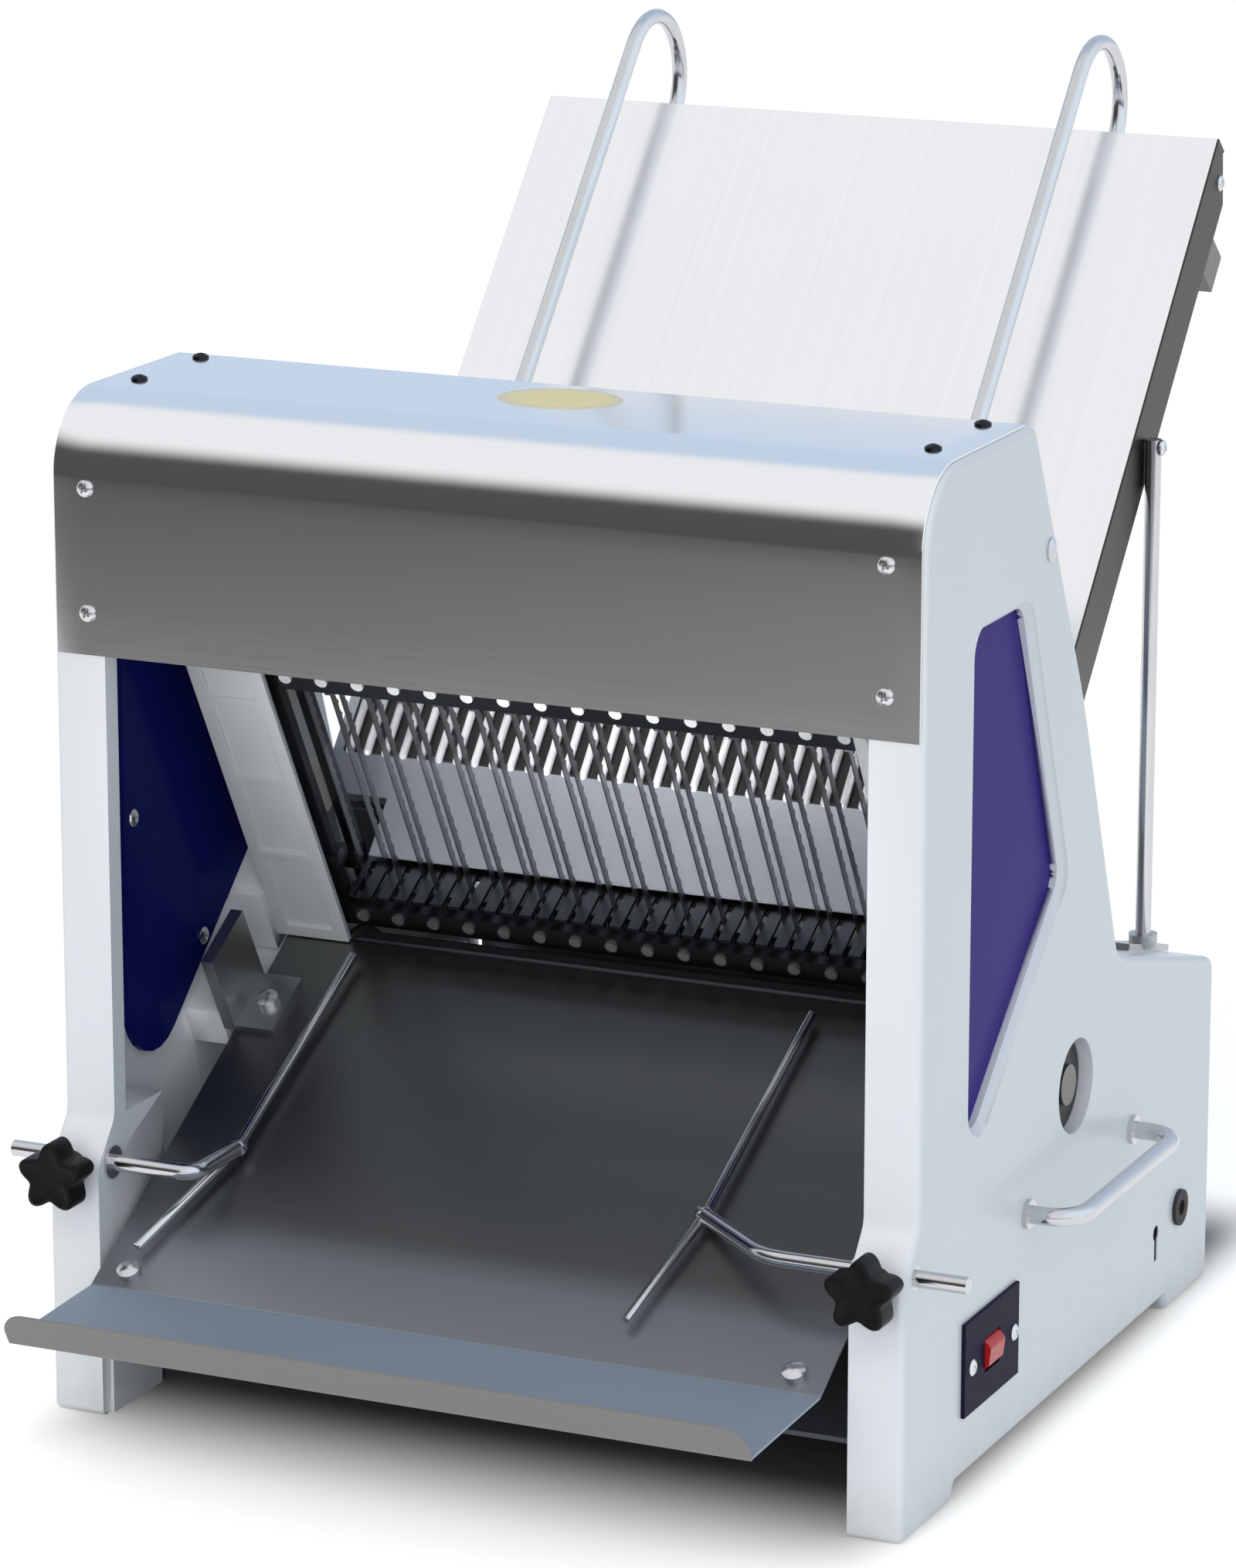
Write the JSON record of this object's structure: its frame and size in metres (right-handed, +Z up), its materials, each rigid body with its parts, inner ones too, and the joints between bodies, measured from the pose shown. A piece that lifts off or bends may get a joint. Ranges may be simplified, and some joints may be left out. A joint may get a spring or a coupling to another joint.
{
  "type": "bread slicer machine",
  "caption": "Countertop bread slicer: a sloping feed chute leads through two reciprocating gangs of upright blades to a delivery tray between white cast side panels.",
  "frame": {"origin": "centre of the bounding box on the floor", "axes": "+X to the machine's right seen from the tray, +Y to the rear where loaves go in, +Z up"},
  "size_m": [0.621, 0.8139, 0.771],
  "materials": {
    "white_paint": "satin white enamel",
    "brushed_sheet": "brushed stainless sheet",
    "bright_steel": "polished bright steel",
    "blue_acrylic": "dark blue glossy sheet",
    "blade_steel": "ground spring steel",
    "machined_steel": "machined steel",
    "dark_iron": "dark cast iron",
    "motor_paint": "grey enamel",
    "slide_plastic": "ivory slide plastic",
    "black_plastic": "black moulded plastic",
    "black_rubber": "black rubber",
    "red_plastic": "red glossy rocker"
  },
  "bodies": {
    "machine": {"left_side_panel": "white_paint", "right_side_panel": "white_paint", "left_guide_rail": "white_paint", "right_guide_rail": "white_paint", "top_cover": "brushed_sheet", "delivery_tray": "brushed_sheet", "feed_chute": "brushed_sheet", "rear_cover": "brushed_sheet", "tray_brackets": "brushed_sheet", "stay_brackets": "brushed_sheet", "chute_stays": "bright_steel", "guide_bar": "bright_steel", "upper_comb": "bright_steel", "left_handle": "bright_steel", "right_handle": "bright_steel", "left_clamp_bush": "bright_steel", "right_clamp_bush": "bright_steel", "cover_screws": "bright_steel", "window_screws": "bright_steel", "tray_bolts": "bright_steel", "panel_bolts": "bright_steel", "switch_screws": "bright_steel", "tie_bars": "bright_steel", "left_window": "blue_acrylic", "right_window": "blue_acrylic", "lower_comb": "machined_steel", "bearings": "dark_iron", "comb_carrier": "dark_iron", "motor": "motor_paint", "base_plate": "motor_paint", "slide_tracks": "slide_plastic", "switch_plate": "black_plastic", "switch_body": "black_plastic", "drive_belt": "black_rubber", "cable_grommet": "black_rubber"},
    "front_gang": {"front_blade_frame": "machined_steel", "front_blades": "blade_steel", "front_blade_studs": "machined_steel", "front_slide_blocks": "slide_plastic", "front_rod_pins": "machined_steel"},
    "rear_gang": {"rear_blade_frame": "machined_steel", "rear_blades": "blade_steel", "rear_blade_studs": "machined_steel", "rear_slide_blocks": "slide_plastic", "rear_rod_pins": "machined_steel"},
    "front_rods": {"front_connecting_rods": "machined_steel"},
    "rear_rods": {"rear_connecting_rods": "machined_steel"},
    "drive_shaft": {"main_shaft": "machined_steel", "eccentrics": "machined_steel", "driven_pulley": "dark_iron"},
    "motor_drive": {"motor_pulley": "dark_iron"},
    "left_slice_guide": {"left_tray_guide": "bright_steel"},
    "right_slice_guide": {"right_tray_guide": "bright_steel"},
    "left_clamp_knob": {"left_knob": "black_plastic"},
    "right_clamp_knob": {"right_knob": "black_plastic"},
    "left_feed_guide": {"left_loaf_guide": "bright_steel", "left_guide_clamp": "black_plastic"},
    "right_feed_guide": {"right_loaf_guide": "bright_steel", "right_guide_clamp": "black_plastic"},
    "switch_rocker": {"rocker": "red_plastic"}
  },
  "joints": [
    {"name": "front_gang_slide", "type": "slide", "parent": "machine", "child": "front_gang", "axis": [0, -0.5, 0.866], "range_m": [-0.018, 0]},
    {"name": "rear_gang_slide", "type": "slide", "parent": "machine", "child": "rear_gang", "axis": [0, -0.5, 0.866], "range_m": [0, 0.018]},
    {"name": "front_rod_swing", "type": "hinge", "parent": "front_gang", "child": "front_rods", "pos_m": [0, -0.05635, 0.29909], "axis": [1, 0, 0], "range_deg": [-4.8, 4.8]},
    {"name": "rear_rod_swing", "type": "hinge", "parent": "rear_gang", "child": "rear_rods", "pos_m": [0, -0.03003, 0.29351], "axis": [1, 0, 0], "range_deg": [-4.7, 4.7]},
    {"name": "shaft_turn", "type": "hinge", "parent": "machine", "child": "drive_shaft", "pos_m": [0, -0.00369, 0.196], "axis": [1, 0, 0], "continuous": true},
    {"name": "motor_turn", "type": "hinge", "parent": "machine", "child": "motor_drive", "pos_m": [0, 0.14181, 0.102], "axis": [1, 0, 0], "continuous": true},
    {"name": "left_slice_guide_slide", "type": "slide", "parent": "machine", "child": "left_slice_guide", "axis": [1, 0, 0], "range_m": [-0.015, 0.03]},
    {"name": "right_slice_guide_slide", "type": "slide", "parent": "machine", "child": "right_slice_guide", "axis": [1, 0, 0], "range_m": [-0.03, 0.045]},
    {"name": "left_knob_turn", "type": "hinge", "parent": "machine", "child": "left_clamp_knob", "pos_m": [-0.257, -0.27419, 0.15477], "axis": [0, -1, 0], "range_deg": [0, 360]},
    {"name": "right_knob_turn", "type": "hinge", "parent": "machine", "child": "right_clamp_knob", "pos_m": [0.257, -0.27419, 0.15477], "axis": [0, -1, 0], "range_deg": [0, 360]},
    {"name": "left_feed_guide_slide", "type": "slide", "parent": "machine", "child": "left_feed_guide", "axis": [1, 0, 0], "range_m": [-0.035, 0.13]},
    {"name": "right_feed_guide_slide", "type": "slide", "parent": "machine", "child": "right_feed_guide", "axis": [1, 0, 0], "range_m": [-0.13, 0.06]},
    {"name": "rocker_tip", "type": "hinge", "parent": "machine", "child": "switch_rocker", "pos_m": [0.271, -0.14269, 0.0755], "axis": [0, 1, 0], "range_deg": [-14, 0]}
  ],
  "couplings": [
    {"joint": "rear_gang_slide", "follows": "front_gang_slide", "ratio": -1},
    {"joint": "motor_turn", "follows": "shaft_turn", "ratio": 2}
  ]
}
